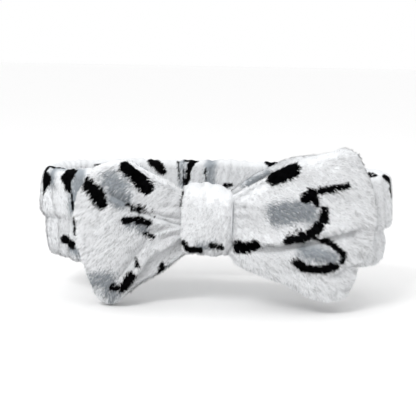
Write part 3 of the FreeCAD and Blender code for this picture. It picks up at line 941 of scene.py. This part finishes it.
def patch(edges, share, level):
    """A surface between four edges: the two ways of blending opposite edges, less the corners.

    edges are the low, top, root and outer lines; share goes outwards and level from low to top.
    """
    low, top, root, fold = edges
    bottom = smooth_line(low, share)
    upper = smooth_line(top, share)
    inner = smooth_line(root, level)
    outer = smooth_line(fold, level)
    s = share[..., None]
    v = level[..., None]
    corners = ((1 - s) * (1 - v) * np.array(low[0]) + s * (1 - v) * np.array(low[-1])
               + (1 - s) * v * np.array(top[0]) + s * v * np.array(top[-1]))
    return (1 - v) * bottom + v * upper + (1 - s) * inner + s * outer - corners


def make_loop_surface(side):
    """One loop: a flat strip with round edges carried out along the plan, round and back.

    The strip's middle surface is the patch between the loop's edges, moved to the plan's depth
    times a crown that falls off towards its low and top edges, and its outline goes out from
    there along the surface's own normal.  Then every point moves along its normal by the sum of
    the valleys, lips and pleats, all bell-shaped across their lines, and of slow noise.
    """
    shape = LOOPS[side]
    sign = -1 if side == "left" else 1
    rows, columns = 170, 190
    plan_points = [(PLAN_REACH * share, depth) for share, depth in LOOP_PLAN]
    progress = np.linspace(0, 1, 2000)
    plan = smooth_line(plan_points, progress)
    walked = np.concatenate([[0], np.cumsum(np.linalg.norm(np.diff(plan, axis=0), axis=1))])
    even = np.interp(np.linspace(0, walked[-1], rows), walked, progress)
    plan = smooth_line(plan_points, even)
    reach_share = np.clip(plan[:, 0] / PLAN_REACH, 0, 1)[:, None]
    depth = plan[:, 1][:, None]
    turn_row = int(np.argmax(reach_share))
    in_front = (np.arange(rows) <= turn_row)[:, None]

    def mid_surface(level):
        """The strip's middle surface at levels from 0, its low edge, to 1, its top edge."""
        s = np.broadcast_to(reach_share, level.shape)
        layers = []
        for layer in ("front", "back"):
            low, top = shape[f"{layer}_low"], shape[f"{layer}_top"]
            layers.append(patch((low, top, [low[0], top[0]], shape["fold"]), s, level))
        flat = np.where(in_front[..., None], layers[0], layers[1])
        flat[..., 0] -= FOLD_ROOM * s**2
        at_low, at_top = FLATTER[side]
        crown = 1 - at_low * (1 - level) ** 2.5 - at_top * level**2.5
        lean = HINGE[f"bow_{side}"][1] - 3.5 * s
        return np.stack([sign * flat[..., 0], lean + depth * crown, flat[..., 1]], -1)

    ends = mid_surface(np.concatenate([np.zeros((rows, 1)), np.ones((rows, 1))], 1))
    half_height = (ends[:, 1, 2] - ends[:, 0, 2])[:, None] / 2
    half_thickness = 2.6 + 0.8 * ease(reach_share, 0, 0.3)
    share = (np.arange(columns) / columns)[None, :]
    height, out, around = strip_outline(half_height, half_thickness, share)
    level = np.clip((height / half_height + 1) / 2, 0, 1)
    middle = mid_surface(level)
    nudge = 1e-3
    by_level = mid_surface(np.clip(level + nudge, 0, 1)) - mid_surface(np.clip(level - nudge, 0, 1))
    by_row = np.gradient(middle, axis=0)
    outward = unit(np.cross(by_row, by_level)) * sign
    points = middle + outward * out[..., None]
    if sign < 0:  # the columns run the other way, so that the faces still point outwards
        points = points[:, ::-1]
        around, height, middle = around[:, ::-1], height[:, ::-1], middle[:, ::-1]
    surface = Surface(points, False)

    # Where each point is on the flat cloth: reach outwards on the front layer, and on beyond the
    # fold for the back layer; height on the outer face, and on over the edges.
    reach = sign * middle[..., 0]
    fold_reach = reach.max(0, keepdims=True)
    a = np.where(in_front, reach, 2 * fold_reach - reach + BACK_PRINT_GAP)
    inside = np.abs(around) > half_height - half_thickness + math.pi * half_thickness / 2
    a = np.where(inside, np.where(in_front, FRONT_INSIDE + reach, BACK_INSIDE - reach), a)
    over_edge = np.sign(around) * (np.abs(around) - np.abs(height)) * ~inside
    b = middle[..., 2] + over_edge
    outer = 1 - ease(np.abs(around) / half_height, 0.85, 1.15)

    # Press the folds in, let the middle puff out, and gather the cloth where it meets the knot.
    swell = np.zeros(a.shape)
    for valley, width, line in FOLDS[side]:
        gap, _ = distance_to_line(a, b, line)
        swell -= outer * valley * np.exp(-(gap / width) ** 2)
    for lip, press, lip_width, press_width, line in LIPS[side]:
        above = side_of_line(a, b, line, 1.0)
        gap, along = distance_to_line(a, b, line)
        gap = gap + 4 * ease(along, 0.98, 1)  # which ends the fold softly
        swell += outer * above * lip * np.exp(-(gap / lip_width) ** 2)
        swell -= outer * (1 - above) * press * np.exp(-(gap / press_width) ** 2)
    root = np.exp(-((reach - 14) / 13) ** 2)
    pleats = np.abs(np.sin(math.pi * (b / 7.5 + 0.6 * noise(b / 9, a / 30, 51))))
    swell += root * (pleats - 0.6) * 1.2 * outer
    swell += 1.1 * noise(a / 17, b / 17, 61) + 0.3 * noise(a / 7, b / 7, 62)
    swell *= ease(reach, 12, 24)
    surface.push(swell)
    surface.soften(2)
    return surface, a, b, outer > 0.5, in_front, np.abs(around) - half_height


SCATTERED_SEED = {"left": 70, "right": 80}


def make_loop(side):
    """A loop's cloth and pile.

    The nap runs outwards and down, and over the rims; the fibres are longest there, by a
    bell-shaped step of the distance to the rim.
    """
    surface, a, b, seen, in_front, rim_distance = make_loop_surface(side)
    body = f"bow_{side}"
    seed = SCATTERED_SEED[side]
    back_end = a[a < FRONT_INSIDE - 10].max()
    marks = (LOOP_MARKS[side]
             + scattered_marks((back_end - 80, -40), (back_end - 8, 40), 8, seed)
             + scattered_marks((FRONT_INSIDE + 15, -5), (FRONT_INSIDE + 80, 40), 4, seed + 1)
             + scattered_marks((BACK_INSIDE - 85, -5), (BACK_INSIDE - 45, 35), 3, seed + 2))
    loop = add_cloth(f"bow_loop_{side}_cloth", surface, PLUSH, cloth_colour(a, b, marks))
    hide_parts(f"bow_loop_{side}")

    outwards = surface.along * np.where(in_front, 1.0, -1.0)[..., None]
    over_rim = surface.around * np.sign(steps(rim_distance, 1, True))[..., None]
    near_rim = np.exp(-(rim_distance / 6) ** 2)[..., None]
    nap = unit(outwards * 0.75 + np.array([0, 0, -0.6]) + over_rim * near_rim * 0.8)
    length = 2.9 + 0.3 * np.exp(-(rim_distance / 5) ** 2)
    way = np.where(in_front, a, -a)
    locks = (way * 0.78 - b * 0.62, way * 0.62 + b * 0.78)  # along the nap and across it
    pieces = [loop]
    for name, where, per_mm2 in (("front", seen & in_front, 5.6), ("back", seen & ~in_front, 4.0),
                                 ("inside", ~seen, 3.4)):
        pieces += grow_pile(f"{body}_pile_{name}", surface, nap, (a, b), locks, marks,
                            where * per_mm2 * QUICK_SHARE, length, seed + 5 * len(pieces),
                            (3.4, 0.75))
    for piece in pieces:
        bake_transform(piece)


# --- The knot and the waist ----------------------------------------------------------------

# Brush marks on the knot's front: shade, width, and line in x and z.
KNOT_MARKS = [
    (BLACK, 4.0, [(-14, -8), (-10.2, -12), (-4.6, -12)]),
    (GREY, 4.5, [(-4.6, -9), (3.5, -9)]),
    (BLACK, 3.6, [(3, -9.3), (8.5, -9.8)]),
]


def make_knot():
    """A cushion-like strip carried round an upright oval that wraps the band and the bow.

    The oval's two coordinates are the cosine and the sine of an angle, each to a power under one,
    which squares it off.  Half a cosine puffs the strip's outer face, its top edge slopes, and
    folds that are the size of a sine across it are pressed in near its top and its foot.
    """
    rows, columns = 150, 92
    low, high = KNOT_BOX
    centre = (low + high) / 2 + [0, 0, 0.6]
    half = (high - low) / 2 - [1.2, 2.6, 4.2]  # room for the strip's thickness and its pile
    angle = np.linspace(0, TAU, 4000, endpoint=False)
    power = 0.62
    oval = np.stack([-np.sign(np.cos(angle)) * np.abs(np.cos(angle)) ** power * half[1],
                     np.sign(np.sin(angle)) * np.abs(np.sin(angle)) ** power * half[2]], -1)
    steps_round = np.linalg.norm(np.diff(oval, axis=0, append=oval[:1]), axis=1)
    walked = np.cumsum(steps_round) - steps_round
    even = np.arange(rows) * steps_round.sum() / rows
    path = np.stack([np.interp(even, walked, oval[:, i]) for i in (0, 1)], -1)
    tangent = unit(np.roll(path, -1, 0) - np.roll(path, 1, 0))
    outward = np.stack([-tangent[:, 1], tangent[:, 0]], -1)
    share = (np.arange(columns) / columns)[None, :]
    across, out, around = strip_outline(half[0], 2.6, share)
    across = np.broadcast_to(across, (rows, columns))
    puff = 2.4 * np.cos(np.clip(across / half[0], -1, 1) * math.pi / 2)
    points = np.zeros((rows, columns, 3))
    points[..., 0] = -across
    points[..., 1:] = path[:, None] + outward[:, None] * (out + puff * (out > 0))[..., None]
    points += centre
    # The top edge drops a little towards +X.
    upper = ease(points[..., 2], centre[2] - 5, high[2])
    points[..., 2] -= (2.6 + 0.13 * points[..., 0]) * upper
    surface = Surface(points, True)
    outer = 1 - ease(np.abs(around) / half[0], 0.9, 1.15)
    outer = np.broadcast_to(outer, (rows, columns))

    # On the flat cloth: x across, and height on the front; the back's print is out of reach.
    a = points[..., 0]
    back_print = 60
    b = np.where(points[..., 1] < centre[1], points[..., 2], back_print + points[..., 2])
    round_knot = np.broadcast_to(even[:, None], a.shape)
    folds = np.abs(np.sin(math.pi * (a / 8.5 + 0.5 * noise(a / 7, round_knot / 25, 95))))
    near_edge = ease(np.abs(points[..., 2] - centre[2]), 8, 22)
    lumps = 0.6 * noise(a / 6, round_knot / 8, 96)
    surface.push(outer * ((folds - 0.6) * 1.3 * near_edge + lumps))
    surface.soften(2)

    knot = add_cloth("knot_cloth", surface, PLUSH, cloth_colour(a, b, KNOT_MARKS))
    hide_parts("knot_wrap")
    downwards = unit(np.array([0, 0, -0.6]) + 0.5 * surface.around)
    pile = grow_pile("knot_pile", surface, downwards, (a, b), (a, b), KNOT_MARKS,
                     (outer > 0.4) * 6.0 * QUICK_SHARE, 2.3, 120, (0.8, 2.4))
    for piece in (knot, *pile):
        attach(piece, "front")


def make_waist():
    """The gathered middle of the bow: an oval bundle round X, from its box.

    Its section's size is 1 less the pleats, which are the size of a sine of the angle, less a
    bell-shaped groove at each winding of the thread, and it rounds off at both ends.
    """
    rows, columns = 60, 180
    low, high = WAIST_BOX
    centre, half = (low + high) / 2, (high - low) / 2
    x = np.linspace(low[0], high[0], rows)[:, None]
    angle = (np.arange(columns) * TAU / columns)[None, :]
    pleats = 1 - 0.07 * np.abs(np.sin(angle * 13 + 0.4 * np.sin(x / 3)))
    winding_spacing = 4
    past_winding = np.abs(x) % winding_spacing
    drawn = 1 - 0.05 * np.exp(-(past_winding / 0.9) ** 2) * (np.abs(x) < 5)
    ends = np.sqrt(np.clip(1 - (x / half[0]) ** 10, 0, 1)) * 0.5 + 0.5
    size = pleats * drawn * ends * 0.98
    points = np.zeros((rows, columns, 3))
    points[..., 0] = x
    points[..., 1] = centre[1] + np.sin(angle) * half[1] * size
    points[..., 2] = centre[2] + np.cos(angle) * half[2] * size
    surface = Surface(points, False)
    plain = cloth_colour(points[..., 0], points[..., 2], marks=())
    waist = add_cloth("bow_waist_cloth", surface, PLUSH, plain)
    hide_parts("bow_waist")
    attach(waist, "front")


# --- Elastic and seam ----------------------------------------------------------------------

def make_elastic():
    """The elastic: a thin strip with round edges carried round the oval, leaning in with the
    cloth at the ends and an eased step further, to stay in its channel."""
    rows, columns = 420, 60
    half_height = (ELASTIC_BOX[1][2] - ELASTIC_BOX[0][2]) / 2
    oval = Oval(BAND_THICKNESS / 2)
    place, outward = oval.at(np.arange(rows) * oval.length / rows)
    share = (np.arange(columns) / columns)[None, :]
    height, out, _ = strip_outline(half_height, ELASTIC_HALF_THICKNESS, share)
    across = place[:, :1]
    out = out + lean_in(across, height) - 0.8 * ease(np.abs(across), *END_ZONE)
    points = np.zeros((rows, columns, 3))
    points[..., :2] = place[:, None] + outward[:, None] * out[..., None]
    points[..., 2] = height
    elastic = add_cloth("band_elastic", Surface(points, True), ELASTIC)
    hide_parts(*(f"band_elastic_{part}" for part in RING_PARTS))
    return elastic


def make_seam(band):
    """The seam along the middle of the band's inner face.

    The path is the surface's middle column, raised a little along the normal and swung from side
    to side by a sine of the step; the thread is a circle carried along it.
    """
    steps_round, sides = 1500, 8
    thread_radius, raised, swing, steps_per_wave = 0.45, 0.35, 0.3, 10
    rows = band.points.shape[0]
    middle = band.points.shape[1] // 2
    place = np.linspace(0, rows, steps_round, endpoint=False)
    low = place.astype(int)
    high = (low + 1) % rows
    part = (place - low)[:, None]
    path = band.points[low, middle] * (1 - part) + band.points[high, middle] * part
    normal = unit(band.normals[low, middle] * (1 - part) + band.normals[high, middle] * part)
    along = unit(np.roll(path, -1, 0) - np.roll(path, 1, 0))
    up = unit(np.cross(along, normal))
    wave = np.sin(np.arange(steps_round) * TAU / steps_per_wave)[:, None]
    path = path + normal * raised + up * swing * wave
    angle = (np.arange(sides) * TAU / sides)[None, :, None]
    ring = normal[:, None] * np.cos(angle) - up[:, None] * np.sin(angle)
    seam = add_cloth("cover_seam", Surface(path[:, None] + ring * thread_radius, True), THREAD)
    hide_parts(*(f"cover_seam_{part}" for part in RING_PARTS))
    return seam


def stretch_with_band(piece):
    """The piece's transform is baked into its mesh."""
    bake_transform(piece)


def finish_stitches():
    """The stitches keep their CAD shapes and get the thread's material."""
    for name in ("cover_join_stitches", "elastic_join_stitches", "knot_seam_stitches",
                 "bow_gather_thread", "bow_tack_stitches"):
        for slot in frame["nodes"][name].material_slots:
            slot.material = THREAD


# --- The studio ----------------------------------------------------------------------------

CAMERA_AZIMUTH = math.radians(4.7)
CAMERA_ELEVATION = math.radians(8.0)
CAMERA_ROLL = math.radians(1.0)
CAMERA_DISTANCE = 0.7
CAMERA_LENS = 89.0
AIM = (-0.0044, 0.0061)  # right and up of the origin, as the camera sees it
FLOOR_LEVEL = -0.051
FLOOR_HALF_WIDTH = 60.0


def make_camera():
    """A camera that looks at the bow from a little above and a little to its right."""
    a, e = CAMERA_AZIMUTH, CAMERA_ELEVATION
    back = Vector((math.sin(a) * math.cos(e), -math.cos(a) * math.cos(e), math.sin(e)))
    turn = back.to_track_quat("Z", "Y").to_matrix() @ Matrix.Rotation(CAMERA_ROLL, 3, "Z")
    target = turn @ Vector((*AIM, 0))
    data = bpy.data.cameras.new("camera")
    data.lens = CAMERA_LENS
    camera = bpy.data.objects.new("camera", data)
    camera.matrix_world = Matrix.Translation(target + back * CAMERA_DISTANCE) @ turn.to_4x4()
    bpy.context.scene.collection.objects.link(camera)
    bpy.context.scene.camera = camera


def add_lamp(name, place, size, power):
    """A square soft white lamp that faces the object's middle."""
    data = bpy.data.lights.new(name, "AREA")
    data.size = size
    data.energy = power
    lamp = bpy.data.objects.new(name, data)
    lamp.location = place
    lamp.rotation_euler = (-Vector(place)).to_track_quat("-Z", "Y").to_euler()
    bpy.context.scene.collection.objects.link(lamp)


def make_studio():
    """A pale floor under an even white sky, with one broad lamp in front, above and to the left."""
    recipe = Recipe("pale floor")
    recipe.set(Base_Color=(0.97, 0.97, 0.97, 1), Roughness=0.9)
    side = FLOOR_HALF_WIDTH
    corners = np.array([[-side, -side, FLOOR_LEVEL], [side, -side, FLOOR_LEVEL],
                        [side, side, FLOOR_LEVEL], [-side, side, FLOOR_LEVEL]]) * MM_PER_METRE
    floor = add_mesh("floor", corners, [np.array([[0, 1, 2, 3]])])
    floor.data.materials.append(recipe.material)
    world = bpy.data.worlds.new("studio")
    world.use_nodes = True
    sky = world.node_tree.nodes["Background"].inputs
    sky["Color"].default_value = (1, 1, 1, 1)
    sky["Strength"].default_value = 1.0
    bpy.context.scene.world = world
    add_lamp("key lamp", (-0.4, -0.95, 0.85), 0.4, 7.5)
    bpy.context.scene.view_settings.view_transform = "Standard"


make_camera()
make_studio()
make_band()
for loop_side in LOOPS:
    make_loop(loop_side)
make_knot()
make_waist()
finish_stitches()
